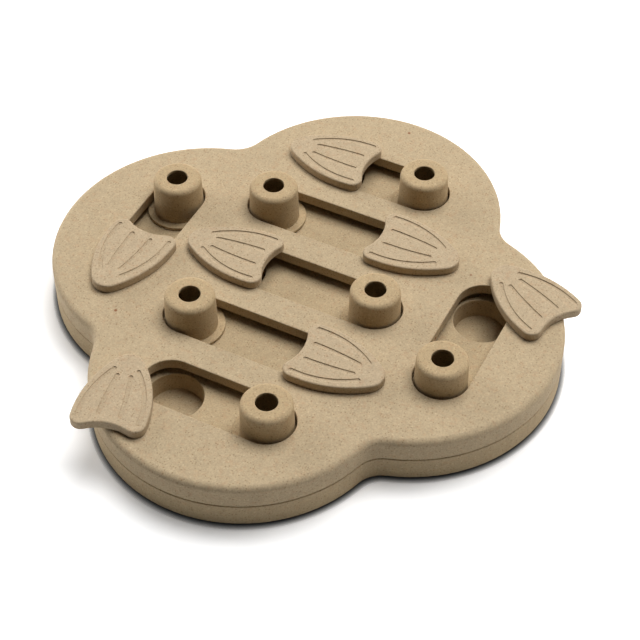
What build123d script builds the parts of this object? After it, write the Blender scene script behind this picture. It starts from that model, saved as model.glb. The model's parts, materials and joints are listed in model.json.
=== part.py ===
"""Dog puzzle feeder: a four-lobed board with seven tracks, each with a sliding peg and a swivel flipper.

Millimetres. The origin is on the ground under the middle of the board, +Z up. The long rows of tracks
run along X, and +Y points to the back lobe.
"""
from build123d import *
from math import cos, radians, sin, sqrt
import os

# ---------------------------------------------------------------- board
PITCH = 50.0  # between neighbouring rows of tracks
SIDE_LOBE_CENTRE, SIDE_LOBE_RADIUS = 66.0, 88.4  # the left and right lobes
END_LOBE_CENTRE, END_LOBE_RADIUS = 70.6, 86.0  # the front and back lobes
NOTCH_RADIUS = 17.5  # the hollow corner between two lobes
BOARD_THICKNESS = 29.5
SEAM_HEIGHT = 14.7  # the lower shell's wall, measured from its bottom edge
TOP_EDGE_RADIUS = 3.6
BOTTOM_EDGE_RADIUS = 0.8
SEAM_BEVEL = 0.35
SEAM_GAP = 0.4  # a shadow gap under the top shell's rim
TONGUE_GAP = 0.15  # between the top shell's wall and the bottom shell's tongue
WALL = 3.0
PLATE = 3.5  # the top plate between its thicker parts
LIP_DEPTH = 6.5  # the thicker plate around each slot and pivot
FOOT_HEIGHT = 1.5

BOTTOM = FOOT_HEIGHT
SEAM = BOTTOM + SEAM_HEIGHT
TOP = BOTTOM + BOARD_THICKNESS
LIP = TOP - LIP_DEPTH

# ---------------------------------------------------------------- tracks
SLOT_WIDTH = 32.0
SLOT_EDGE_RADIUS = 0.6
LIP_WALL = 3.0  # around the slot, under the plate
LONG_REACH, SHORT_REACH = 45.5, 30.0  # track centre to the centre of the slot's round end
FLOOR_DEPTH = 10.5  # board top to the deck that the pegs slide on
DECK = 2.5
WELL_RADIUS, WELL_FLOOR_RADIUS = 16.2, 15.0
WELL_DEPTH = 11.5
WELL_WALL = 2.0
WELL_INSET = 2.5  # the well's centre lies this much nearer the middle than the slot's end
WELL_RIM_RADIUS = 0.6

FLOOR = TOP - FLOOR_DEPTH

# ---------------------------------------------------------------- pegs
PEG_HEIGHT = 15.5  # above the board
PEG_TOP_RADIUS, PEG_BASE_RADIUS = 14.3, 15.0
PEG_ROUNDING = 3.0
PEG_WALL = 2.6
PEG_CAP = 2.0
PEG_HOLE_RADIUS = 6.2
HOLE_EDGE_RADIUS = 0.4
FLANGE_RADIUS, FLANGE_THICKNESS, FLANGE_EDGE_RADIUS = 19.2, 2.0, 0.5
SLIDE_GAP = 0.2

# ---------------------------------------------------------------- flippers
PIVOT_OFFSET = 24.5  # the pivot lies this far beyond the centre of the slot's end
FLIPPER_GAP = 0.3  # clear of the board
FLIPPER_THICKNESS = 5.2
FLIPPER_EDGE_RADIUS = 1.0
SIDE_ARC_RADIUS = 66.0
HALF_WIDTH, WIDEST_AT = 21.0, 38.8
ROOT_RADIUS = 9.8
TAIL_NOTCH_RADIUS, TAIL_NOTCH_AT = 26.8, 45.0
TAIL_CORNER_RADIUS = 6.0
LINE_WIDTH, LINE_DEPTH = 2.4, 0.7
OUTER_LINE = [(7.3, 6.8), (24.5, 15.0), (43.3, 16.8)]  # along, across: start, middle, end
INNER_LINE = [(11.8, 3.8), (26.0, 5.5), (40.0, 6.1)]
STUB_RADIUS, STUB_CLEARANCE = 4.0, 0.08
STUB_END = LIP - FLIPPER_GAP
PIVOT_BOSS_RADIUS = 8.5

# ---------------------------------------------------------------- fasteners and feet
PIVOT_SCREW_RADIUS, PIVOT_SCREW_LENGTH, PIVOT_HEAD_HEIGHT = 1.45, 8.0, 1.4
CASE_SCREW_RADIUS, CASE_SCREW_LENGTH, CASE_HEAD_HEIGHT = 1.7, 13.0, 2.2
HEAD_RADIUS, HEAD_ROUNDING, TIP_CHAMFER = 3.4, 0.5, 0.7
RECESS_LENGTH, RECESS_WIDTH, RECESS_DEPTH = 3.4, 0.9, 0.7  # the cross in a screw's head
WASHER_RADIUS, WASHER_THICKNESS = 6.0, 0.8
PILOT_CLEARANCE = 0.05
CASE_SCREW_HOLE_RADIUS = 2.0
SCREW_BOSS_RADIUS = 4.0
SCREW_COLUMN_RADIUS, COUNTERBORE_RADIUS, COUNTERBORE_TOP = 5.5, 3.9, 14.0
RIM_SCREW_AT, NOTCH_SCREW_AT = 137.0, 74.0  # from the board's middle, along X or Y and along both
FOOT_TUBE_RADIUS, FOOT_STEM_RADIUS, FOOT_STEM_LENGTH = 7.5, 4.5, 6.0
FOOT_PAD_RADIUS, FOOT_ROUNDING = 7.5, 0.5
FOOT_OUT, FOOT_ACROSS = 128.0, 38.0  # out along a lobe and to each side of its middle line

# name: centre of the track, reach, direction from the peg's end to the flipper's end (degrees),
# how far the flipper stands from closed (degrees)
TRACKS = {
    "a": ((-2 * PITCH, 0), SHORT_REACH, -90, -1.5),
    "b": ((0, PITCH), LONG_REACH, 0, -0.5),
    "c": ((0, 2 * PITCH), SHORT_REACH, 180, 1.9),
    "d": ((0, 0), LONG_REACH, 180, 2.3),
    "e": ((0, -PITCH), LONG_REACH, 0, -0.4),
    "f": ((0, -2 * PITCH), SHORT_REACH, 180, -75.1),
    "g": ((2 * PITCH, 0), SHORT_REACH, 90, 63.0),
}
CASE_SCREWS = [(0, half_rows * PITCH / 2) for half_rows in (-3, -1, 1, 3)]
CASE_SCREWS += [(sign * RIM_SCREW_AT, 0) for sign in (-1, 1)]
CASE_SCREWS += [(0, sign * RIM_SCREW_AT) for sign in (-1, 1)]
CASE_SCREWS += [(sx * NOTCH_SCREW_AT, sy * NOTCH_SCREW_AT) for sx in (-1, 1) for sy in (-1, 1)]
FEET = [(sx * FOOT_OUT, sy * FOOT_ACROSS) for sx in (-1, 1) for sy in (-1, 1)]
FEET += [(sx * FOOT_ACROSS, sy * FOOT_OUT) for sx in (-1, 1) for sy in (-1, 1)]


def along(track, distance):
    """The point at this distance from a track's centre, towards the flipper's end."""
    (x, y), _, direction, _ = TRACKS[track]
    return (x + distance * cos(radians(direction)), y + distance * sin(radians(direction)))


def notch_centre():
    """Centre of the circle that rounds the corner between the right and the back lobe."""
    side = SIDE_LOBE_RADIUS + NOTCH_RADIUS
    end = END_LOBE_RADIUS + NOTCH_RADIUS
    span = sqrt(SIDE_LOBE_CENTRE**2 + END_LOBE_CENTRE**2)
    reach = (side**2 - end**2 + span**2) / (2 * span)
    height = sqrt(side**2 - reach**2)
    ux, uy = -SIDE_LOBE_CENTRE / span, END_LOBE_CENTRE / span
    return Vector(SIDE_LOBE_CENTRE + reach * ux + height * uy, reach * uy - height * ux)


def outline(inset=0.0):
    """The board's outline, offset inwards: four lobe arcs joined by four notch arcs."""
    notch = notch_centre()
    side_centre, end_centre = Vector(SIDE_LOBE_CENTRE, 0), Vector(0, END_LOBE_CENTRE)
    side_radius, end_radius = SIDE_LOBE_RADIUS - inset, END_LOBE_RADIUS - inset
    side_join = side_centre + (notch - side_centre).normalized() * side_radius
    end_join = end_centre + (notch - end_centre).normalized() * end_radius
    corner = notch - notch.normalized() * (NOTCH_RADIUS + inset)
    with BuildSketch() as sketch:
        with BuildLine():
            for sx, sy in ((1, 1), (-1, 1), (-1, -1), (1, -1)):
                ThreePointArc(
                    (sx * side_join.X, sy * side_join.Y),
                    (sx * corner.X, sy * corner.Y),
                    (sx * end_join.X, sy * end_join.Y),
                )
            for s in (1, -1):
                ThreePointArc(
                    (s * side_join.X, -side_join.Y),
                    (s * (SIDE_LOBE_CENTRE + side_radius), 0),
                    (s * side_join.X, side_join.Y),
                )
                ThreePointArc(
                    (-end_join.X, s * end_join.Y),
                    (0, s * (END_LOBE_CENTRE + end_radius)),
                    (end_join.X, s * end_join.Y),
                )
        make_face()
    return sketch.sketch


def slots(extra=0.0):
    """The seven round-ended slots, widened all round by extra."""
    with BuildSketch() as sketch:
        for centre, reach, direction, _ in TRACKS.values():
            with Locations(centre):
                SlotCenterToCenter(2 * reach, SLOT_WIDTH + 2 * extra, rotation=direction)
    return sketch.sketch


def engraved_lines():
    """The four lines on a flipper's face, with the pivot at the origin and the tail along +X."""
    with BuildSketch() as sketch:
        for line in (OUTER_LINE, INNER_LINE):
            for side in (1, -1):
                points = [(lengthwise, side * across) for lengthwise, across in line]
                SlotArc(ThreePointArc(*points), LINE_WIDTH)
    return sketch.sketch


PIVOTS = {track: along(track, TRACKS[track][1] + PIVOT_OFFSET) for track in TRACKS}
WELLS = []
for name, (_, reach, _, _) in TRACKS.items():
    WELLS += [along(name, reach - WELL_INSET), along(name, WELL_INSET - reach)]

os.makedirs("parts", exist_ok=True)
board_outline = outline()
inner_outline = outline(WALL)
tongue_outline = outline(WALL + TONGUE_GAP)
deck_outline = outline(2 * WALL + TONGUE_GAP)
slot_shapes = slots()
lip_shapes = slots(LIP_WALL)
flipper_lines = engraved_lines()

# ---------------------------------------------------------------- top shell
with BuildPart() as top_shell:
    with BuildSketch(Plane.XY.offset(SEAM + SEAM_GAP)):
        add(board_outline)
    extrude(amount=TOP - SEAM - SEAM_GAP)
    fillet(top_shell.faces().sort_by(Axis.Z)[-1].edges(), TOP_EDGE_RADIUS)
    chamfer(top_shell.faces().sort_by(Axis.Z)[0].edges(), SEAM_BEVEL)
    with BuildSketch(Plane.XY.offset(SEAM)):
        add(inner_outline)
    extrude(amount=TOP - PLATE - SEAM, mode=Mode.SUBTRACT)
    # the plate is thicker around each slot and each pivot
    with BuildSketch(Plane.XY.offset(LIP)):
        add(lip_shapes)
        with Locations(*PIVOTS.values()):
            Circle(PIVOT_BOSS_RADIUS)
    extrude(amount=LIP_DEPTH - PLATE)
    # bosses that stand on the deck and take the case screws
    with BuildSketch(Plane.XY.offset(FLOOR)):
        with Locations(*CASE_SCREWS):
            Circle(SCREW_BOSS_RADIUS)
    extrude(amount=TOP - PLATE - FLOOR)
    with BuildSketch(Plane.XY.offset(LIP)):
        add(slot_shapes)
        with Locations(*PIVOTS.values()):
            Circle(STUB_RADIUS + STUB_CLEARANCE)
    extrude(amount=LIP_DEPTH, mode=Mode.SUBTRACT)
    with BuildSketch(Plane.XY.offset(FLOOR)):
        with Locations(*CASE_SCREWS):
            Circle(CASE_SCREW_RADIUS + PILOT_CLEARANCE)
    extrude(amount=TOP - PLATE - FLOOR - PILOT_CLEARANCE, mode=Mode.SUBTRACT)
    # soften the slots' top edges
    openings = top_shell.faces().sort_by(Axis.Z)[-1].inner_wires()
    slot_rims = [wire for wire in openings if wire.length > 2 * SLOT_WIDTH]
    fillet([edge for rim in slot_rims for edge in rim.edges()], SLOT_EDGE_RADIUS)
top_shell.part.label = "top_shell"
export_step(top_shell.part, "parts/top_shell.step")

# ---------------------------------------------------------------- bottom shell
with BuildPart() as bottom_shell:
    with BuildSketch(Plane.XY.offset(BOTTOM)):
        add(board_outline)
    extrude(amount=SEAM_HEIGHT)
    chamfer(bottom_shell.faces().sort_by(Axis.Z)[-1].edges(), SEAM_BEVEL)
    fillet(bottom_shell.faces().sort_by(Axis.Z)[0].edges(), BOTTOM_EDGE_RADIUS)
    # the tongue inside the top shell's wall carries the deck
    with BuildSketch(Plane.XY.offset(SEAM)):
        add(tongue_outline)
    extrude(amount=FLOOR - SEAM)
    # hollow from below, up to the deck
    with BuildSketch(Plane.XY.offset(BOTTOM)):
        add(inner_outline)
    extrude(amount=SEAM_HEIGHT - WALL, mode=Mode.SUBTRACT)
    with BuildSketch(Plane.XY.offset(BOTTOM)):
        add(deck_outline)
    extrude(amount=FLOOR - DECK - BOTTOM, mode=Mode.SUBTRACT)
    # cups, screw columns and foot tubes hang from the deck
    with Locations(*[(x, y, FLOOR - WELL_DEPTH - WELL_WALL) for x, y in WELLS]):
        Cone(
            WELL_FLOOR_RADIUS + WELL_WALL,
            WELL_RADIUS + WELL_WALL,
            WELL_DEPTH + WELL_WALL,
            align=(Align.CENTER, Align.CENTER, Align.MIN),
        )
    with BuildSketch(Plane.XY.offset(BOTTOM)):
        with Locations(*CASE_SCREWS):
            Circle(SCREW_COLUMN_RADIUS)
        with Locations(*FEET):
            Circle(FOOT_TUBE_RADIUS)
            Circle(FOOT_STEM_RADIUS + PILOT_CLEARANCE, mode=Mode.SUBTRACT)
    extrude(amount=FLOOR - DECK - BOTTOM)
    with Locations(*[(x, y, FLOOR - WELL_DEPTH) for x, y in WELLS]):
        Cone(
            WELL_FLOOR_RADIUS,
            WELL_RADIUS,
            WELL_DEPTH,
            align=(Align.CENTER, Align.CENTER, Align.MIN),
            mode=Mode.SUBTRACT,
        )
    well_rims = bottom_shell.faces().sort_by(Axis.Z)[-1].inner_wires()
    fillet([edge for rim in well_rims for edge in rim.edges()], WELL_RIM_RADIUS)
    with BuildSketch(Plane.XY.offset(BOTTOM)):
        with Locations(*CASE_SCREWS):
            Circle(COUNTERBORE_RADIUS)
    extrude(amount=COUNTERBORE_TOP - BOTTOM, mode=Mode.SUBTRACT)
    with BuildSketch(Plane.XY.offset(COUNTERBORE_TOP)):
        with Locations(*CASE_SCREWS):
            Circle(CASE_SCREW_HOLE_RADIUS)
    extrude(amount=FLOOR - COUNTERBORE_TOP, mode=Mode.SUBTRACT)
bottom_shell.part.label = "bottom_shell"
export_step(bottom_shell.part, "parts/bottom_shell.step")


# ---------------------------------------------------------------- pegs
def make_peg(track):
    """A hollow tapered peg with a hole in its cap and a flange that slides on the deck."""
    x, y = along(track, -TRACKS[track][1])
    foot = FLOOR + SLIDE_GAP
    cap = TOP + PEG_HEIGHT
    profile = [
        (PEG_HOLE_RADIUS, cap),
        (PEG_TOP_RADIUS, cap),
        (PEG_BASE_RADIUS, foot + FLANGE_THICKNESS),
        (FLANGE_RADIUS, foot + FLANGE_THICKNESS),
        (FLANGE_RADIUS, foot),
        (PEG_BASE_RADIUS - PEG_WALL, foot),
        (PEG_TOP_RADIUS - PEG_WALL, cap - PEG_CAP),
        (PEG_HOLE_RADIUS, cap - PEG_CAP),
    ]
    with BuildPart() as peg:
        with BuildSketch(Plane(origin=(x, y, 0), x_dir=(1, 0, 0), z_dir=(0, -1, 0))) as section:
            with BuildLine():
                Polyline(*profile, close=True)
            make_face()
            cap_corners = section.vertices().group_by(Axis.Y)[-1].sort_by(Axis.X)
            fillet(cap_corners[-1], PEG_ROUNDING)
            fillet(cap_corners[0], HOLE_EDGE_RADIUS)
            fillet(section.vertices().group_by(Axis.X)[-1], FLANGE_EDGE_RADIUS)
        revolve(axis=Axis((x, y, 0), (0, 0, 1)))
    peg.part.label = f"peg_{track}"
    export_step(peg.part, f"parts/peg_{track}.step")


# ---------------------------------------------------------------- flippers
def make_flipper(track):
    """A fish-tail flipper with a stub that turns in the top plate and takes a screw from below."""
    x, y = PIVOTS[track]
    _, _, direction, opened = TRACKS[track]
    tail = radians(direction + 180 + opened)
    x_dir = (cos(tail), sin(tail), 0)
    underside = TOP + FLIPPER_GAP
    side_centre = SIDE_ARC_RADIUS - HALF_WIDTH
    with BuildPart() as flipper:
        with BuildSketch(Plane(origin=(x, y, underside), x_dir=x_dir, z_dir=(0, 0, 1))) as shape:
            with Locations((WIDEST_AT, side_centre)):
                Circle(SIDE_ARC_RADIUS)
            with Locations((WIDEST_AT, -side_centre)):
                Circle(SIDE_ARC_RADIUS, mode=Mode.INTERSECT)
            with Locations((TAIL_NOTCH_AT + TAIL_NOTCH_RADIUS, 0)):
                Circle(TAIL_NOTCH_RADIUS, mode=Mode.SUBTRACT)
            fillet(shape.vertices().sort_by(Axis.X)[-2:], TAIL_CORNER_RADIUS)
            fillet(shape.vertices().sort_by(Axis.X)[0], ROOT_RADIUS)
        extrude(amount=FLIPPER_THICKNESS)
        fillet(flipper.faces().sort_by(Axis.Z)[-1].edges(), FLIPPER_EDGE_RADIUS)
        face = Plane(origin=(x, y, underside + FLIPPER_THICKNESS), x_dir=x_dir, z_dir=(0, 0, 1))
        with BuildSketch(face):
            add(flipper_lines)
        extrude(amount=-LINE_DEPTH, mode=Mode.SUBTRACT)
        with BuildSketch(Plane.XY.offset(STUB_END)):
            with Locations((x, y)):
                Circle(STUB_RADIUS)
        extrude(amount=underside - STUB_END)
        with BuildSketch(Plane.XY.offset(STUB_END)):
            with Locations((x, y)):
                Circle(PIVOT_SCREW_RADIUS + PILOT_CLEARANCE)
        extrude(amount=PIVOT_SCREW_LENGTH, mode=Mode.SUBTRACT)
    flipper.part.label = f"flipper_{track}"
    export_step(flipper.part, f"parts/flipper_{track}.step")


def make_flipper_washer(track):
    """The washer under the plate that keeps a flipper's stub in its bore."""
    with BuildPart() as washer:
        with BuildSketch(Plane.XY.offset(STUB_END)):
            with Locations(PIVOTS[track]):
                Circle(WASHER_RADIUS)
                Circle(PIVOT_SCREW_RADIUS + PILOT_CLEARANCE, mode=Mode.SUBTRACT)
        extrude(amount=-WASHER_THICKNESS)
    washer.part.label = f"flipper_washer_{track}"
    export_step(washer.part, f"parts/flipper_washer_{track}.step")


# ---------------------------------------------------------------- screws and feet
def screws(places, seat, head_height, radius, length):
    """Cross-headed screws pointing up, with their heads' shoulders at the seat height."""
    with BuildPart() as group:
        with BuildSketch(Plane.XY.offset(seat)):
            with Locations(*places):
                Circle(HEAD_RADIUS)
        extrude(amount=-head_height)
        fillet(group.faces().group_by(Axis.Z)[0].edges(), HEAD_ROUNDING)
        with BuildSketch(Plane.XY.offset(seat)):
            with Locations(*places):
                Circle(radius)
        extrude(amount=length)
        chamfer(group.faces().group_by(Axis.Z)[-1].edges(), TIP_CHAMFER)
        with BuildSketch(Plane.XY.offset(seat - head_height)):
            with Locations(*places):
                Rectangle(RECESS_LENGTH, RECESS_WIDTH)
                Rectangle(RECESS_WIDTH, RECESS_LENGTH)
        extrude(amount=RECESS_DEPTH, mode=Mode.SUBTRACT)
    return group.part


def make_flipper_screw(track):
    """The screw that clamps the washer to a flipper's stub."""
    seat = STUB_END - WASHER_THICKNESS
    screw = screws([PIVOTS[track]], seat, PIVOT_HEAD_HEIGHT, PIVOT_SCREW_RADIUS, PIVOT_SCREW_LENGTH)
    screw.label = f"flipper_screw_{track}"
    export_step(screw, f"parts/flipper_screw_{track}.step")


for name in TRACKS:
    make_peg(name)
    make_flipper(name)
    make_flipper_washer(name)
    make_flipper_screw(name)

case_screws = screws(
    CASE_SCREWS, COUNTERBORE_TOP, CASE_HEAD_HEIGHT, CASE_SCREW_RADIUS, CASE_SCREW_LENGTH
)
case_screws.label = "case_screws"
export_step(case_screws, "parts/case_screws.step")

with BuildPart() as rubber_feet:
    with BuildSketch(Plane.XY):
        with Locations(*FEET):
            Circle(FOOT_PAD_RADIUS)
    extrude(amount=FOOT_HEIGHT)
    fillet(rubber_feet.faces().group_by(Axis.Z)[0].edges(), FOOT_ROUNDING)
    with BuildSketch(Plane.XY.offset(FOOT_HEIGHT)):
        with Locations(*FEET):
            Circle(FOOT_STEM_RADIUS)
    extrude(amount=FOOT_STEM_LENGTH)
rubber_feet.part.label = "rubber_feet"
export_step(rubber_feet.part, "parts/rubber_feet.step")
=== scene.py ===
"""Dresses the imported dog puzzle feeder: wood-fibre composite board, pegs and flippers, screws and feet.

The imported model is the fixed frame, in metres, with the ground at z = 0, +X to the right lobe and +Y to
the back lobe. The board's shells, the screws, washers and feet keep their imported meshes. The flippers and
pegs are made here in finer detail, from the sizes given below and the places in the frame.
"""
import json
from math import atan2, ceil, cos, hypot, pi, radians, sin, sqrt, tan, tau
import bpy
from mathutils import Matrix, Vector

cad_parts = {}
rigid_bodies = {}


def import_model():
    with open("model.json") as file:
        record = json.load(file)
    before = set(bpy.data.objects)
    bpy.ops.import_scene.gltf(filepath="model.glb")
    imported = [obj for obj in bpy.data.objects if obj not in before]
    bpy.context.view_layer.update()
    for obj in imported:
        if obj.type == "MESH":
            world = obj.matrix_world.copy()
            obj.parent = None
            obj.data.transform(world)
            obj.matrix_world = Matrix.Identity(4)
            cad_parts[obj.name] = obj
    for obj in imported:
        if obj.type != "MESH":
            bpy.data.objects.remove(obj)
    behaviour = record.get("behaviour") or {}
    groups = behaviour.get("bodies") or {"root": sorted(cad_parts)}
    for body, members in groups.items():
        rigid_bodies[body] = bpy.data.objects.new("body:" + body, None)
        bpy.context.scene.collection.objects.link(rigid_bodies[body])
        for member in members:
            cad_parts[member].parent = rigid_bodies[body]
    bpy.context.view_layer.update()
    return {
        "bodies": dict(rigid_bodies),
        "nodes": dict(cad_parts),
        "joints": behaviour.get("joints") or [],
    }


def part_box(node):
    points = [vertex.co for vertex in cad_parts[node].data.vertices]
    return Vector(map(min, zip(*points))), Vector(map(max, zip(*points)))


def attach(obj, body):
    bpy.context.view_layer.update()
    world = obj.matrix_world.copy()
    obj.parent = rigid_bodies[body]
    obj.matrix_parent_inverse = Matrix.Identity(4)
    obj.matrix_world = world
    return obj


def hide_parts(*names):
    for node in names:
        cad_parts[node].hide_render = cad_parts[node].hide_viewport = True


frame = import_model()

from types import SimpleNamespace

import bpy
from mathutils import Matrix, Vector
from mathutils.geometry import delaunay_2d_cdt

bl_info = {
    "name": "Dog puzzle feeder",
    "version": (1, 0, 0),
    "blender": (4, 5, 0),
    "location": "3D View > Sidebar > Feeder",
    "description": "Finish, fine pieces and studio for a sliding-peg dog puzzle feeder",
    "category": "Object",
}

MM = 0.001
TRACKS = sorted(body[-1] for body in frame["bodies"] if body.startswith("peg_"))
PIVOTS = {joint["child"][-1]: joint["pos_m"] for joint in frame["joints"] if joint["type"] == "hinge"}

# flippers: where each tail points at rest, in degrees from +X
TAIL_HEADINGS = {"a": 88.5, "b": 179.5, "c": 1.9, "d": 2.3, "e": 179.6, "f": -75.1, "g": -27.0}
# their engraved lines are arcs through three points, in mm along and across the flipper
OUTER_LINE = [(7.3, 6.8), (24.5, 15.0), (43.3, 16.8)]
INNER_LINE = [(11.8, 3.8), (26.0, 5.5), (40.0, 6.1)]
# the lines' rounded section from lip to bottom, as shares of their half width and of their depth
GROOVE = [(1.1, 0), (1, 0), (0.95, 0.1), (0.91, 0.45), (0.87, 0.88), (0.8, 1)]
# the stub that a flipper turns on, with a pilot hole for its screw, in mm
STUB_RADIUS, PILOT_RADIUS, PILOT_LENGTH = 4.0, 1.5, 8.0
PILOT_DISC = 0.2  # radius of the flat face that ends the pilot hole
STUB_ROUNDINGS = (0.2, 0.2, 0.4)  # at the pilot hole's end and mouth and at the stub's foot
# roundings of a peg's section, in mm
FLANGE_ROUNDING, FLANGE_FILLET = 0.5, 0.35
HOLE_ROUNDING, HOLE_INNER_ROUNDING = 0.4, 0.3
CAP_FILLET, FOOT_ROUNDING = 0.5, 0.3

# how finely the flippers and pegs are drawn
STUB_SEGMENTS, PEG_SEGMENTS = 48, 112
ROUNDING_STEPS = 3  # per mm of a rounding's radius, and at least this many round a corner
ARC_STEPS = 9.0  # per radian of a small arc; one whose radius in mm is larger has that many
SUPPORT = 0.12  # mm before and after a rounding, where a ring keeps the flat beside it flat
WELD = 1e-6  # points closer than this are one, in mm in a flipper and in metres in a peg

# how far each part's grain is shifted, in metres, so that no two parts show the same grain
GRAIN_SHIFTS = {"board": 0.0, "lower_shell": 0.5, "flippers": 0.3, "pegs": 0.7}
# the composite's specks: spacing over the speck size, share of places that have one, radius over the
# spacing, strength of the colour
SPECKS = {"pale": (1.2, 0.4, 0.36, 0.2), "dark": (1, 0.55, 0.36, 0.6), "fleck": (8, 0.1, 0.11, 0.85)}
NOISE_ROUGHNESS = 0.62
NOISE_SPAN = {"From Min": 0.3, "From Max": 0.7}  # where nearly all of a noise's values lie
SMOOTH = {"interpolation_type": "SMOOTHSTEP"}

# studio: the camera in mm, the rest in metres
CAMERA_PLACE, CAMERA_AIM = Vector((311.5, -592.5, 721.1)), Vector((24.3, -26.7, 36.5))
SENSOR_WIDTH = 36
FLOOR_HALF = 6.0
FLOOR_FADE = {"From Min": 0.35, "From Max": 1.2}  # from the middle, over which the floor turns white
LAMPS = {  # by their power's name: place, aim, width and height
    "overhead": ((0.22, 1.25, 2.8), (0, 0, 0), (2.7, 1.95)),
    "left_panel": ((-1.8, 0.45, 0.6), (0, 0, 0), (1.5, 1.05)),
    "right_panel": ((1.5, 1.2, 0.6), (0, 0, 0), (1.5, 1.05)),
    # a weak strip that lifts the lower shell's shaded left side
    "left_kicker": ((-0.5, -0.15, 0.015), (-0.1, -0.02, 0.015), (0.5, 0.03)),
}


# ---------------------------------------------------------------- sizes and colours
def linear(colour_hex):
    """An sRGB hex colour as the linear red, green and blue that a shader takes."""
    channels = [int(colour_hex[i : i + 2], 16) / 255 for i in (1, 3, 5)]
    return [c / 12.92 if c <= 0.04045 else ((c + 0.055) / 1.055) ** 2.4 for c in channels]


def length(name, description, millimetres):
    """A length property whose default is given in millimetres."""
    return bpy.props.FloatProperty(
        name=name, description=description, default=millimetres * MM, min=0, unit="LENGTH", precision=5
    )


def colour(name, description, colour_hex):
    """A colour property whose default is an sRGB hex value."""
    return bpy.props.FloatVectorProperty(
        name=name, description=description, default=linear(colour_hex), subtype="COLOR", min=0, max=1
    )


def power(name, description, watts):
    """A lamp's power property, in watts."""
    return bpy.props.FloatProperty(name=name, description=description, default=watts, unit="POWER")


def factor(name, description, value):
    """A plain number property that can't be negative."""
    return bpy.props.FloatProperty(name=name, description=description, default=value, min=0)


class FeederComposite(bpy.types.PropertyGroup):
    """Colours and grain of the moulded wood-fibre composite."""

    board: colour("Board", "Colour of the top shell", "#af9c7e")
    lower_shell: colour("Lower shell", "Colour of the lower shell and its deck", "#ac9878")
    flippers: colour("Flippers", "Colour of the flippers", "#af9c80")
    pegs: colour("Pegs", "Colour of the pegs", "#ad9775")
    dark: colour("Dark specks", "Bark and dark fibre ends", "#7d6646")
    pale: colour("Pale specks", "Pale wood flour", "#dccbaa")
    warm: colour("Warm fibres", "Redder wood fibres", "#a8764f")
    fleck: colour("Flecks", "Rare red-brown bark flecks", "#7b4a2e")
    grain_size: length("Grain", "Size of the finest visible grain", 0.9)
    speck_size: length("Specks", "Spacing of the dark and pale specks", 1.5)
    cloud_size: length("Clouding", "Size of the faint cloudy patches", 7.0)
    relief: length("Relief", "Depth of the surface's fine texture", 0.045)


class FeederFittings(bpy.types.PropertyGroup):
    """Finish of the screws, washers and feet."""

    screws: colour("Screws", "Zinc plating on the screws", "#c3c5c3")
    washers: colour("Washers", "Plain steel of the washers", "#b4b1ab")
    rubber: colour("Rubber", "Rubber of the feet", "#2b2927")
    streak: length("Streaks", "Width of the streaks in the plating", 0.6)
    grit: length("Grit", "Spacing of the matte texture on the rubber", 0.5)
    grit_relief: length("Grit relief", "Depth of the matte texture on the rubber", 0.04)


class FeederFlippers(bpy.types.PropertyGroup):
    """Outline and engraved lines of the fish-tail flippers."""

    side_radius: length("Side arc", "Radius of the long side arcs", 66.0)
    half_width: length("Half width", "Half of the greatest width", 21.0)
    widest_at: length("Widest at", "Distance from the pivot to the widest place", 38.8)
    root_radius: length("Root", "Radius of the round end at the pivot", 9.8)
    notch_radius: length("Tail notch", "Radius of the hollow in the tail", 26.8)
    notch_at: length("Notch at", "Distance from the pivot to the notch", 45.0)
    corner_radius: length("Tail corners", "Radius of the tail's two corners", 6.0)
    thickness: length("Thickness", "Underside to top", 5.2)
    edge: length("Edge rounding", "Rounding of the top edge", 1.0)
    lower_edge: length("Lower edge", "Rounding of the lower edge", 0.35)
    line_width: length("Line width", "Width of the engraved lines at the surface", 2.6)
    line_depth: length("Line depth", "Depth of the engraved lines", 0.6)


class FeederPegs(bpy.types.PropertyGroup):
    """Section of the hollow sliding pegs."""

    top_radius: length("Top radius", "Radius of the side, extended to the top", 14.3)
    base_radius: length("Base radius", "Radius of the side at the flange", 15.0)
    rounding: length("Rounding", "Rounding of the cap's edge", 3.0)
    hole_radius: length("Hole", "Radius of the hole in the cap", 6.2)
    wall: length("Wall", "Thickness of the side wall", 2.6)
    cap: length("Cap", "Thickness of the cap", 2.0)
    height: length("Height", "Flange's underside to the top", 25.8)
    flange: length("Flange", "Thickness of the sliding flange", 2.0)
    flange_radius: length("Flange radius", "Radius of the sliding flange", 19.2)


class FeederStudio(bpy.types.PropertyGroup):
    """Camera, lamps and floor."""

    focal: bpy.props.FloatProperty(
        name="Lens", description="Focal length on a 36 mm sensor", default=94.2, subtype="DISTANCE_CAMERA"
    )
    overhead: power("Overhead", "Power of the large overhead lamp", 130.0)
    left_panel: power("Left panel", "Power of the lamp at the left", 24.0)
    right_panel: power("Right panel", "Power of the lamp at the right", 9.5)
    left_kicker: power("Left kicker", "Power of the low strip at the left", 0.35)
    ambient: factor("Ambient", "Strength of the room's even light", 0.01)
    floor_bounce: factor("Floor bounce", "Share of light the floor returns", 0.95)
    floor_lift: factor("Floor lift", "Brightness added to the floor as seen", 0.22)
    # the painted contact shadow on the seen floor: how far it reaches and how steeply it darkens
    painted_shadow_reach: length("Contact reach", "How far from the board the seen floor darkens", 4.2)
    painted_shadow_depth: factor("Contact depth", "How steeply the seen floor darkens there", 4.0)


SETTINGS = {
    "feeder_composite": FeederComposite,
    "feeder_fittings": FeederFittings,
    "feeder_flippers": FeederFlippers,
    "feeder_pegs": FeederPegs,
    "feeder_studio": FeederStudio,
}


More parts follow.
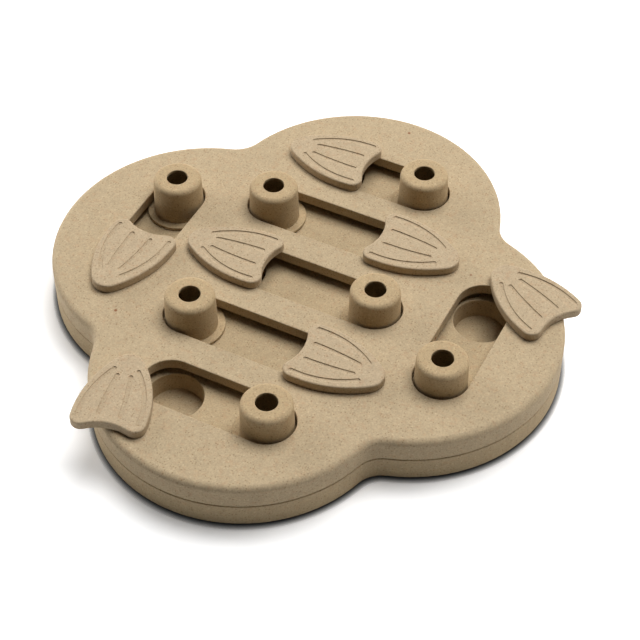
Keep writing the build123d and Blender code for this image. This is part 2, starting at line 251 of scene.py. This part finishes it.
# ---------------------------------------------------------------- nodes and materials
def add_node(tree, kind, inputs=None, **settings):
    """Adds a node with its settings. An input is a value, a socket, or a node that feeds it."""
    made = tree.nodes.new(kind)
    for name, value in settings.items():
        setattr(made, name, value)
    for key, value in (inputs or {}).items():
        if isinstance(value, bpy.types.Node):
            value = next(socket for socket in value.outputs if socket.enabled)
        if isinstance(value, bpy.types.NodeSocket):
            tree.links.new(value, made.inputs[key])
        else:
            made.inputs[key].default_value = value
    return made


def new_material(name):
    """A material with an empty node tree."""
    material = bpy.data.materials.new(name)
    material.use_nodes = True
    material.node_tree.nodes.clear()
    return material


def specks(tree, place, spacing, share, radius):
    """1 in the middle of a random share of the cells, fading to 0 at the radius, in cells."""
    cells = add_node(tree, "ShaderNodeTexVoronoi", {"Vector": place, "Scale": 1 / spacing}).outputs
    draw = add_node(tree, "ShaderNodeSeparateColor", {"Color": cells["Color"]})
    chosen = {"Value": draw, "From Min": 1 - share, "From Max": 1 - share / 2}
    chosen = add_node(tree, "ShaderNodeMapRange", chosen, **SMOOTH)
    spot = {"Value": cells["Distance"], "From Min": radius / 2, "From Max": radius}
    spot = add_node(tree, "ShaderNodeMapRange", {**spot, "To Min": 1, "To Max": 0}, **SMOOTH)
    return add_node(tree, "ShaderNodeMath", {0: chosen, 1: spot}, operation="MULTIPLY")


def composite_material(part):
    """Moulded wood-fibre composite: a matte plastic full of wood flour, with specks and bark flecks."""
    look = bpy.context.scene.feeder_composite
    material = new_material(f"moulded wood-fibre composite, {part.replace('_', ' ')}")
    tree = material.node_tree
    place = add_node(tree, "ShaderNodeTexCoord").outputs["Object"]
    shift = GRAIN_SHIFTS[part]
    place = add_node(tree, "ShaderNodeMapping", {"Vector": place, "Location": (shift, 2 * shift, 0)})

    # the grain is a few times coarser than wood flour, so that it shows
    noise = {"Vector": place, "Roughness": NOISE_ROUGHNESS}
    grain = add_node(tree, "ShaderNodeTexNoise", {**noise, "Scale": 1 / look.grain_size, "Detail": 3})
    clouds = add_node(tree, "ShaderNodeTexNoise", {**noise, "Scale": 1 / look.cloud_size, "Detail": 3})
    fibre_scale = 1 / (look.grain_size * 3)
    fibres = add_node(tree, "ShaderNodeTexNoise", {**noise, "Scale": fibre_scale, "Detail": 2})

    # its shades, then redder fibres and three kinds of speck laid over them
    grain_shade = {"Value": grain, **NOISE_SPAN, "To Min": 0.87, "To Max": 1.1}
    grain_shade = add_node(tree, "ShaderNodeMapRange", grain_shade, **SMOOTH)
    cloud_shade = {"Value": clouds, **NOISE_SPAN, "To Min": 0.97, "To Max": 1.03}
    cloud_shade = add_node(tree, "ShaderNodeMapRange", cloud_shade, **SMOOTH)
    shade = add_node(tree, "ShaderNodeMath", {0: grain_shade, 1: cloud_shade}, operation="MULTIPLY")
    base = (*getattr(look, part),)
    tone = add_node(tree, "ShaderNodeVectorMath", {0: base, "Scale": shade}, operation="SCALE")
    warmth = {"Value": fibres, "From Min": 0.5, "From Max": 0.75, "To Min": 0, "To Max": 0.2}
    layers = {"warm": add_node(tree, "ShaderNodeMapRange", warmth, **SMOOTH)}
    spots = {}
    for kind, (spacing, share, radius, strength) in SPECKS.items():
        spots[kind] = specks(tree, place, look.speck_size * spacing, share, radius)
        layers[kind] = add_node(tree, "ShaderNodeMath", {0: spots[kind], 1: strength}, operation="MULTIPLY")
    for kind, amount in layers.items():
        layer = {"Factor": amount, "A": tone, "B": (*getattr(look, kind), 1)}
        tone = add_node(tree, "ShaderNodeMix", layer, data_type="RGBA")

    # wood flour at the surface keeps it matte, with only a soft sheen on rounded edges
    rough = {"Value": grain, **NOISE_SPAN, "To Min": 0.66, "To Max": 0.8}
    rough = add_node(tree, "ShaderNodeMapRange", rough, **SMOOTH)
    height = add_node(tree, "ShaderNodeMath", {0: grain, 1: spots["dark"]}, operation="SUBTRACT")
    bump = add_node(tree, "ShaderNodeBump", {"Height": height, "Distance": look.relief, "Strength": 0.6})
    shader = {"Base Color": tone, "Roughness": rough, "Normal": bump}
    shader |= {"IOR": 1.48, "Specular IOR Level": 0.12}
    shader = add_node(tree, "ShaderNodeBsdfPrincipled", shader)
    add_node(tree, "ShaderNodeOutputMaterial", {"Surface": shader})
    return material


def steel_material(name, base, roughness):
    """Satin steel: bright, with soft streaks of duller plating drawn out along the piece."""
    look = bpy.context.scene.feeder_fittings
    material = new_material(name)
    tree = material.node_tree
    place = add_node(tree, "ShaderNodeTexCoord").outputs["Object"]
    drawn = add_node(tree, "ShaderNodeMapping", {"Vector": place, "Scale": (1, 1, 0.15)})
    streaks = {"Vector": drawn, "Scale": 1 / look.streak, "Detail": 3, "Roughness": NOISE_ROUGHNESS}
    streaks = add_node(tree, "ShaderNodeTexNoise", streaks)
    shade = {"Value": streaks, **NOISE_SPAN, "To Min": 0.85, "To Max": 1.05}
    shade = add_node(tree, "ShaderNodeMapRange", shade, **SMOOTH)
    tone = add_node(tree, "ShaderNodeVectorMath", {0: (*base,), "Scale": shade}, operation="SCALE")
    rough = {"Value": streaks, **NOISE_SPAN, "To Min": roughness - 0.08, "To Max": roughness + 0.1}
    rough = add_node(tree, "ShaderNodeMapRange", rough, **SMOOTH)
    shader = {"Base Color": tone, "Roughness": rough, "Metallic": 1.0}
    shader = add_node(tree, "ShaderNodeBsdfPrincipled", shader)
    add_node(tree, "ShaderNodeOutputMaterial", {"Surface": shader})
    return material


def rubber_material(name):
    """Moulded rubber: near black and dull, with a fine grit from its mould."""
    look = bpy.context.scene.feeder_fittings
    material = new_material(name)
    tree = material.node_tree
    place = add_node(tree, "ShaderNodeTexCoord").outputs["Object"]
    grit = {"Vector": place, "Scale": 1 / look.grit, "Detail": 2, "Roughness": NOISE_ROUGHNESS}
    grit = add_node(tree, "ShaderNodeTexNoise", grit)
    shade = {"Value": grit, **NOISE_SPAN, "To Min": 0.8, "To Max": 1.2}
    shade = add_node(tree, "ShaderNodeMapRange", shade, **SMOOTH)
    base = (*look.rubber,)
    tone = add_node(tree, "ShaderNodeVectorMath", {0: base, "Scale": shade}, operation="SCALE")
    rough = {"Value": grit, **NOISE_SPAN, "To Min": 0.75, "To Max": 0.9}
    rough = add_node(tree, "ShaderNodeMapRange", rough, **SMOOTH)
    bump = {"Height": grit, "Distance": look.grit_relief, "Strength": 0.7}
    bump = add_node(tree, "ShaderNodeBump", bump)
    shader = {"Base Color": tone, "Roughness": rough, "Normal": bump, "IOR": 1.52}
    shader = add_node(tree, "ShaderNodeBsdfPrincipled", shader)
    add_node(tree, "ShaderNodeOutputMaterial", {"Surface": shader})
    return material


def dress(node, material):
    """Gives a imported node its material."""
    piece = frame["nodes"][node]
    piece.data.materials.clear()
    piece.data.materials.append(material)


# ---------------------------------------------------------------- board
class FEEDER_OT_board(bpy.types.Operator):
    """Finish the board's two shells"""

    bl_idname = "feeder.board"
    bl_label = "Board"

    def execute(self, context):
        dress("top_shell", composite_material("board"))
        dress("bottom_shell", composite_material("lower_shell"))
        return {"FINISHED"}


class FEEDER_OT_fittings(bpy.types.Operator):
    """Finish the screws, washers and feet"""

    bl_idname = "feeder.fittings"
    bl_label = "Screws, washers and feet"

    def execute(self, context):
        look = context.scene.feeder_fittings
        screws = steel_material("zinc-plated steel, screws", look.screws, roughness=0.35)
        washers = steel_material("stamped steel, washers", look.washers, roughness=0.42)
        dress("case_screws", screws)
        dress("rubber_feet", rubber_material("moulded rubber, feet"))
        for track in TRACKS:
            dress(f"flipper_screw_{track}", screws)
            dress(f"flipper_washer_{track}", washers)
        return {"FINISHED"}


# ---------------------------------------------------------------- shapes, in millimetres
def in_millimetres(settings):
    """A property group's lengths as a plain object, in millimetres."""
    return SimpleNamespace(**{name: getattr(settings, name) / MM for name in settings.__annotations__})


def softened(corners, radii):
    """A polyline with its inner corners rounded, and a point just before and after each rounding."""
    corners = [Vector(corner) for corner in corners]
    points = [corners[0]]
    for before, corner, after, radius in zip(corners, corners[1:], corners[2:], radii):
        back, on = (before - corner).normalized(), (after - corner).normalized()
        half = back.angle(on) / 2
        reach = radius / tan(half)
        centre = corner + (back + on).normalized() * radius / sin(half)
        start, turn = corner + back * reach - centre, pi - 2 * half
        if back.x * on.y - back.y * on.x > 0:
            turn = -turn
        steps = max(ROUNDING_STEPS, ceil(radius * ROUNDING_STEPS))
        points.append(corner + back * (reach + SUPPORT))
        points += [centre + Matrix.Rotation(turn * step / steps, 2) @ start for step in range(steps + 1)]
        points.append(corner + on * (reach + SUPPORT))
    return points + [corners[-1]]


def arc(centre, radius, start, end):
    """Points from start to end, both in radians, with the unit vectors that point away from the centre."""
    steps = ceil(abs(end - start) * max(radius, ARC_STEPS))
    angles = [start + (end - start) * step / steps for step in range(steps + 1)]
    spokes = [Vector((cos(angle), sin(angle))) for angle in angles]
    return [(centre + spoke * radius, spoke) for spoke in spokes]


def circle_through(start, middle, end):
    """Centre and radius of the circle through three points."""
    along, across = middle - start, end - start
    cross = 2 * (along.x * across.y - along.y * across.x)
    x = (across.y * along.length_squared - along.y * across.length_squared) / cross
    y = (along.x * across.length_squared - across.x * along.length_squared) / cross
    return start + Vector((x, y)), hypot(x, y)


def heading(vector):
    """The direction of a flat vector, in radians from +X."""
    return atan2(vector.y, vector.x)


class Skin:
    """Vertices and faces of one closed surface, made ring by ring."""

    def __init__(self):
        self.points = []
        self.faces = []

    def ring(self, flat_points, height):
        """Adds a closed ring at one height and returns its vertex numbers."""
        first = len(self.points)
        self.points += [(point.x, point.y, height) for point in flat_points]
        return list(range(first, len(self.points)))

    def join(self, rings):
        """Covers the bands between neighbouring rings that have as many points each."""
        for low, high in zip(rings, rings[1:]):
            for i in range(len(low)):
                self.faces.append((low[i - 1], low[i], high[i], high[i - 1]))

    def fill(self, loops, threads=(), hole=None, upwards=True):
        """Triangles between the outer loop and the loops and open threads inside it, except in the hole."""
        numbers = [number for loop in (*loops, *threads) for number in loop]
        order = {number: i for i, number in enumerate(numbers)}
        edges = [(order[loop[i - 1]], order[loop[i]]) for loop in loops for i in range(len(loop))]
        edges += [(order[a], order[b]) for thread in threads for a, b in zip(thread, thread[1:])]
        flat = [Vector(self.points[number][:2]) for number in numbers]
        keep_inside = 1
        _, _, triangles, sources, _, _ = delaunay_2d_cdt(flat, edges, [], keep_inside, WELD)
        inside_hole = set(hole or ())
        for triangle in triangles:
            corners = [numbers[sources[i][0]] for i in triangle]
            if not inside_hole.issuperset(corners):
                self.faces.append(corners if upwards else corners[::-1])

    def piece(self, name, place, material):
        """A smooth shaded object in metres, with its shape moved to its place."""
        mesh = bpy.data.meshes.new(name)
        mesh.from_pydata(self.points, [], self.faces)
        mesh.transform(place @ Matrix.Scale(MM, 4))
        mesh.shade_smooth()
        mesh.materials.append(material)
        made = bpy.data.objects.new(name, mesh)
        bpy.context.scene.collection.objects.link(made)
        return made


# ---------------------------------------------------------------- flippers
def flipper_outline(size):
    """Points round the flipper with outward unit vectors: the pivot at the origin, the tail along +X."""
    side = Vector((size.widest_at, size.half_width - size.side_radius))
    root = Vector((side.x - sqrt((size.side_radius - size.root_radius) ** 2 - side.y**2), 0))
    notch = Vector((size.notch_at + size.notch_radius, 0))
    # the corner's circle touches the side arc from within and the notch from outside
    from_side = size.side_radius - size.corner_radius
    from_notch = size.notch_radius + size.corner_radius
    span = notch - side
    reach = (from_side**2 - from_notch**2 + span.length_squared) / (2 * span.length)
    across = span.orthogonal().normalized() * sqrt(from_side**2 - reach**2)
    corner = side + span.normalized() * reach + across
    hollow = arc(notch, size.notch_radius, pi, heading(corner - notch))
    half = [(point, -spoke) for point, spoke in hollow]
    half += arc(corner, size.corner_radius, heading(notch - corner), heading(corner - side))[1:]
    half += arc(side, size.side_radius, heading(corner - side), heading(root - side))[1:]
    half += arc(root, size.root_radius, heading(root - side), pi)[1:]
    mirror = Matrix(((1, 0), (0, -1)))
    return half + [(mirror @ point, mirror @ away) for point, away in reversed(half[1:-1])]


def engrave_line(skin, size, line, side):
    """Adds the rings of one groove and the open thread along its bottom, and returns both."""
    start, middle, end = (Vector((lengthwise, side * across)) for lengthwise, across in line)
    centre, radius = circle_through(start, middle, end)
    first, last = heading(start - centre), heading(end - centre)
    spine = arc(centre, radius, first, last)
    half_turn = pi if last < first else -pi
    rings = []
    for share, depth in GROOVE:
        reach = size.line_width / 2 * share
        bank = [point + spoke * reach for point, spoke in spine]
        far_bank = [point - spoke * reach for point, spoke in spine]
        nose = [point for point, _ in arc(spine[-1][0], reach, last, last - half_turn)[1:-1]]
        tail = [point for point, _ in arc(spine[0][0], reach, first + pi, first + pi - half_turn)[1:-1]]
        height = size.thickness - depth * size.line_depth
        rings.append(skin.ring(bank + nose + far_bank[::-1] + tail, height))
    return rings, skin.ring([point for point, _ in spine[1:-1]], size.thickness - size.line_depth)


def hang_stub(skin, stub_length):
    """Adds the stub below the flipper, with its pilot hole, and returns its topmost ring."""
    angles = [tau * i / STUB_SEGMENTS for i in range(STUB_SEGMENTS)]
    circle = [Vector((cos(angle), sin(angle))) for angle in angles]
    pilot_end = PILOT_LENGTH - stub_length
    section = [
        (PILOT_DISC, pilot_end),
        (PILOT_RADIUS, pilot_end),
        (PILOT_RADIUS, -stub_length),
        (STUB_RADIUS, -stub_length),
        (STUB_RADIUS, 0),
    ]
    rings = [skin.ring([spoke * r for spoke in circle], z) for r, z in softened(section, STUB_ROUNDINGS)]
    skin.join(rings)
    skin.faces.append(rings[0][::-1])
    return rings[-1]


def flipper_skin(size, stub_length):
    """A flipper with its underside at height 0 and its stub hanging below."""
    skin = Skin()
    outline = flipper_outline(size)
    stub = hang_stub(skin, stub_length)
    inward = 2.0  # anywhere past the roundings, because these two ends are dropped
    section = [(inward, 0), (0, 0), (0, size.thickness), (inward, size.thickness)]
    edge = softened(section, (size.lower_edge, size.edge))[1:-1]
    sides = [skin.ring([point - away * inset for point, away in outline], z) for inset, z in edge]
    skin.join(sides)
    skin.fill([sides[0], stub], hole=stub, upwards=False)
    loops, threads = [sides[-1]], []
    for line in (OUTER_LINE, INNER_LINE):
        for side in (1, -1):
            rings, thread = engrave_line(skin, size, line, side)
            loops += rings
            threads.append(thread)
    skin.fill(loops, threads)
    return skin


class FEEDER_OT_flippers(bpy.types.Operator):
    """Make the flippers"""

    bl_idname = "feeder.flippers"
    bl_label = "Flippers"

    def execute(self, context):
        size = in_millimetres(context.scene.feeder_flippers)
        finish = composite_material("flippers")
        for track in TRACKS:
            node = f"flipper_{track}"
            low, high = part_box(node)
            underside = high.z - size.thickness * MM
            pivot = Vector((PIVOTS[track][0], PIVOTS[track][1], underside))
            turn = Matrix.Rotation(radians(TAIL_HEADINGS[track]), 4, "Z")
            skin = flipper_skin(size, (underside - low.z) / MM)
            flipper = skin.piece(f"moulded_{node}", Matrix.Translation(pivot) @ turn, finish)
            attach(flipper, node)
            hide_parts(node)
        return {"FINISHED"}


# ---------------------------------------------------------------- pegs
def turned_tree():
    """Geometry Nodes that turn the input's profile, x out and z up, about an upright axis at Place."""
    tree = bpy.data.node_groups.new("turned piece", "GeometryNodeTree")
    sockets = {"Profile": "Geometry", "Segments": "Int", "Place": "Vector", "Material": "Material"}
    for name, kind in sockets.items():
        tree.interface.new_socket(name, in_out="INPUT", socket_type=f"NodeSocket{kind}")
    tree.interface.new_socket("Piece", in_out="OUTPUT", socket_type="NodeSocketGeometry")
    given = add_node(tree, "NodeGroupInput").outputs
    profile, segments = given["Profile"], given["Segments"]

    # a grid with a column for each turned copy of the profile and a row for each of its points
    count = add_node(tree, "GeometryNodeAttributeDomainSize", {"Geometry": profile})
    columns = add_node(tree, "FunctionNodeIntegerMath", {0: segments, 1: 1}, operation="ADD")
    grid = add_node(tree, "GeometryNodeMeshGrid", {"Vertices X": columns, "Vertices Y": count})
    index = add_node(tree, "GeometryNodeInputIndex")
    column = add_node(tree, "FunctionNodeIntegerMath", {0: index, 1: count}, operation="DIVIDE_FLOOR")
    row = add_node(tree, "FunctionNodeIntegerMath", {0: index, 1: count}, operation="MODULO")

    # each vertex takes its row's point of the profile, turned by its column's share of a full turn
    point = {"Geometry": profile, "Value": add_node(tree, "GeometryNodeInputPosition"), "Index": row}
    point = add_node(tree, "GeometryNodeSampleIndex", point, data_type="FLOAT_VECTOR")
    share = add_node(tree, "ShaderNodeMath", {0: column, 1: segments}, operation="DIVIDE")
    angle = add_node(tree, "ShaderNodeMath", {0: share, 1: tau}, operation="MULTIPLY")
    turned = {"Vector": point, "Angle": angle}
    turned = add_node(tree, "ShaderNodeVectorRotate", turned, rotation_type="Z_AXIS")
    placed = add_node(tree, "ShaderNodeVectorMath", {0: turned, 1: given["Place"]}, operation="ADD")

    piece = add_node(tree, "GeometryNodeSetPosition", {"Geometry": grid, "Position": placed})
    piece = add_node(tree, "GeometryNodeMergeByDistance", {"Geometry": piece, "Distance": WELD})
    piece = add_node(tree, "GeometryNodeSetShadeSmooth", {"Geometry": piece})
    piece = add_node(tree, "GeometryNodeRealizeInstances", {"Geometry": piece})
    finish = {"Geometry": piece, "Material": given["Material"]}
    piece = add_node(tree, "GeometryNodeSetMaterial", finish)
    add_node(tree, "NodeGroupOutput", {"Piece": piece})
    return tree


def turned_piece(name, tree, profile, segments, place, material):
    """Runs the turning tree on a profile in millimetres and keeps the result as a plain mesh."""
    line = bpy.data.meshes.new(name)
    line.from_pydata([(r * MM, 0, z * MM) for r, z in profile], [], [])
    made = bpy.data.objects.new(name, line)
    bpy.context.scene.collection.objects.link(made)
    modifier = made.modifiers.new("turned piece", "NODES")
    modifier.node_group = tree
    values = {"Segments": segments, "Place": place, "Material": material}
    for socket in tree.interface.items_tree:
        if socket.name in values:
            modifier[socket.identifier] = values[socket.name]
    graph = bpy.context.evaluated_depsgraph_get()
    mesh = bpy.data.meshes.new_from_object(made.evaluated_get(graph))
    made.modifiers.clear()
    made.data = mesh
    return made


def peg_profile(size):
    """The closed section of a peg, its flange's underside at height 0."""
    foot = ((size.flange_radius + size.base_radius) / 2, 0)
    cap_inside = size.height - size.cap
    turns = [  # radius, height, rounding
        (size.flange_radius, 0, FLANGE_ROUNDING),
        (size.flange_radius, size.flange, FLANGE_ROUNDING),
        (size.base_radius, size.flange, FLANGE_FILLET),
        (size.top_radius, size.height, size.rounding),
        (size.hole_radius, size.height, HOLE_ROUNDING),
        (size.hole_radius, cap_inside, HOLE_INNER_ROUNDING),
        (size.top_radius - size.wall, cap_inside, CAP_FILLET),
        (size.base_radius - size.wall, 0, FOOT_ROUNDING),
    ]
    corners = [foot, *((radius, height) for radius, height, _ in turns), foot]
    return softened(corners, [rounding for _, _, rounding in turns])


class FEEDER_OT_pegs(bpy.types.Operator):
    """Make the sliding pegs"""

    bl_idname = "feeder.pegs"
    bl_label = "Pegs"

    def execute(self, context):
        tree = turned_tree()
        profile = peg_profile(in_millimetres(context.scene.feeder_pegs))
        finish = composite_material("pegs")
        for track in TRACKS:
            node = f"peg_{track}"
            low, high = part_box(node)
            foot = Vector(((low.x + high.x) / 2, (low.y + high.y) / 2, low.z))
            peg = turned_piece(f"moulded_{node}", tree, profile, PEG_SEGMENTS, foot, finish)
            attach(peg, node)
            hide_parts(node)
        return {"FINISHED"}


# ---------------------------------------------------------------- studio
def set_camera(focal):
    """Stands the camera at its place, aimed at the board."""
    camera = bpy.data.objects.new("camera", bpy.data.cameras.new("camera"))
    camera.data.lens = focal
    camera.data.sensor_width = SENSOR_WIDTH
    place, aim = CAMERA_PLACE * MM, CAMERA_AIM * MM
    camera.location = place
    camera.rotation_euler = (aim - place).to_track_quat("-Z", "Y").to_euler()
    bpy.context.scene.collection.objects.link(camera)
    bpy.context.scene.camera = camera


def area_lamp(name, place, aim, size, watts):
    """A soft lamp, wide and high as its size says, that shines from its place towards the aim."""
    light = bpy.data.lights.new(name, "AREA")
    light.shape = "RECTANGLE"
    light.size, light.size_y = size
    light.energy = watts
    lamp = bpy.data.objects.new(name, light)
    lamp.location = place
    lamp.rotation_euler = (Vector(aim) - Vector(place)).to_track_quat("-Z", "Y").to_euler()
    bpy.context.scene.collection.objects.link(lamp)


def seen_or_mirrored(tree):
    """1 for what the camera sees itself or through a reflection, 0 for light that only bounces."""
    path = add_node(tree, "ShaderNodeLightPath").outputs
    sharp = {0: path["Is Glossy Ray"], 1: path["Is Transmission Ray"]}
    sharp = add_node(tree, "ShaderNodeMath", sharp, operation="MAXIMUM")
    return add_node(tree, "ShaderNodeMath", {0: path["Is Camera Ray"], 1: sharp}, operation="MAXIMUM")


def floor_material(sizes):
    """Matte white studio paper with a painted contact shadow near the board, which turns as white as the
    room away from the board.
    """
    material = new_material("white studio floor")
    tree = material.node_tree
    seen = seen_or_mirrored(tree)
    # as seen, it carries a painted contact shadow: it darkens within a few millimetres of the board, where
    # little light gets in
    painted_contact_shade = add_node(tree, "ShaderNodeAmbientOcclusion", {"Distance": sizes.painted_shadow_reach}).outputs["AO"]
    painted_contact_shade = add_node(tree, "ShaderNodeMath", {0: painted_contact_shade, 1: sizes.painted_shadow_depth}, operation="POWER")
    white = {"Factor": seen, "A": sizes.floor_bounce, "B": painted_contact_shade}
    white = add_node(tree, "ShaderNodeMix", white, data_type="FLOAT")
    # its glow rises to full white away from the board, so that no horizon shows
    spot = add_node(tree, "ShaderNodeNewGeometry").outputs["Position"]
    away = add_node(tree, "ShaderNodeVectorMath", {0: spot}, operation="LENGTH")
    lift = {"Value": away, **FLOOR_FADE, "To Min": sizes.floor_lift, "To Max": 1.0}
    lift = add_node(tree, "ShaderNodeMapRange", lift, **SMOOTH)
    # the painted contact shadow dims the seen glow near the board as well
    lift = add_node(tree, "ShaderNodeMath", {0: painted_contact_shade, 1: lift}, operation="MULTIPLY")
    glow = add_node(tree, "ShaderNodeMix", {"Factor": seen, "A": 0.0, "B": lift}, data_type="FLOAT")
    shader = {"Base Color": white, "Roughness": 1.0, "Specular IOR Level": 0.0}
    shader |= {"Emission Color": (1, 1, 1, 1), "Emission Strength": glow}
    shader = add_node(tree, "ShaderNodeBsdfPrincipled", shader)
    add_node(tree, "ShaderNodeOutputMaterial", {"Surface": shader})
    return material


def lay_floor(sizes):
    """A large square floor under the board, kept out of the exported object."""
    mesh = bpy.data.meshes.new("floor")
    half = FLOOR_HALF
    corners = [(-half, -half, 0), (half, -half, 0), (half, half, 0), (-half, half, 0)]
    mesh.from_pydata(corners, [], [(0, 1, 2, 3)])
    mesh.materials.append(floor_material(sizes))
    floor = bpy.data.objects.new("floor", mesh)
    bpy.context.scene.collection.objects.link(floor)


def white_room(ambient):
    """The world: white as seen, and almost dark for the light that falls on the board."""
    world = bpy.data.worlds.new("white room")
    world.use_nodes = True
    tree = world.node_tree
    tree.nodes.clear()
    strength = {"Factor": seen_or_mirrored(tree), "A": ambient, "B": 1.0}
    strength = add_node(tree, "ShaderNodeMix", strength, data_type="FLOAT")
    background = {"Color": (1, 1, 1, 1), "Strength": strength}
    background = add_node(tree, "ShaderNodeBackground", background)
    add_node(tree, "ShaderNodeOutputWorld", {"Surface": background})
    bpy.context.scene.world = world


class FEEDER_OT_studio(bpy.types.Operator):
    """Set up the floor, the soft light and the camera"""

    bl_idname = "feeder.studio"
    bl_label = "Studio"

    def execute(self, context):
        sizes = context.scene.feeder_studio
        set_camera(sizes.focal)
        lay_floor(sizes)
        white_room(sizes.ambient)
        for name, (place, aim, size) in LAMPS.items():
            area_lamp(name.replace("_", " "), place, aim, size, getattr(sizes, name))
        context.scene.view_settings.view_transform = "Standard"
        return {"FINISHED"}


class FEEDER_PT_panel(bpy.types.Panel):
    """Lists the feeder's pieces and settings in the sidebar"""

    bl_idname = "FEEDER_PT_panel"
    bl_label = "Dog puzzle feeder"
    bl_space_type = "VIEW_3D"
    bl_region_type = "UI"
    bl_category = "Feeder"

    def draw(self, context):
        for operator in OPERATORS:
            self.layout.operator(operator.bl_idname)
        for group, kind in SETTINGS.items():
            box = self.layout.box()
            for name in kind.__annotations__:
                box.prop(getattr(context.scene, group), name)


OPERATORS = [FEEDER_OT_board, FEEDER_OT_fittings, FEEDER_OT_flippers, FEEDER_OT_pegs, FEEDER_OT_studio]
CLASSES = [*SETTINGS.values(), *OPERATORS, FEEDER_PT_panel]


def register():
    """Registers the classes and hangs the settings on the scene."""
    for kind in CLASSES:
        bpy.utils.register_class(kind)
    for group, kind in SETTINGS.items():
        setattr(bpy.types.Scene, group, bpy.props.PointerProperty(type=kind))


def unregister():
    """Takes the settings and classes away again."""
    for group in SETTINGS:
        delattr(bpy.types.Scene, group)
    for kind in reversed(CLASSES):
        bpy.utils.unregister_class(kind)


def main():
    """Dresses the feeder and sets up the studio."""
    register()
    for operator in OPERATORS:
        group, name = operator.bl_idname.split(".")
        getattr(getattr(bpy.ops, group), name)()


if __name__ == "__main__":
    main()
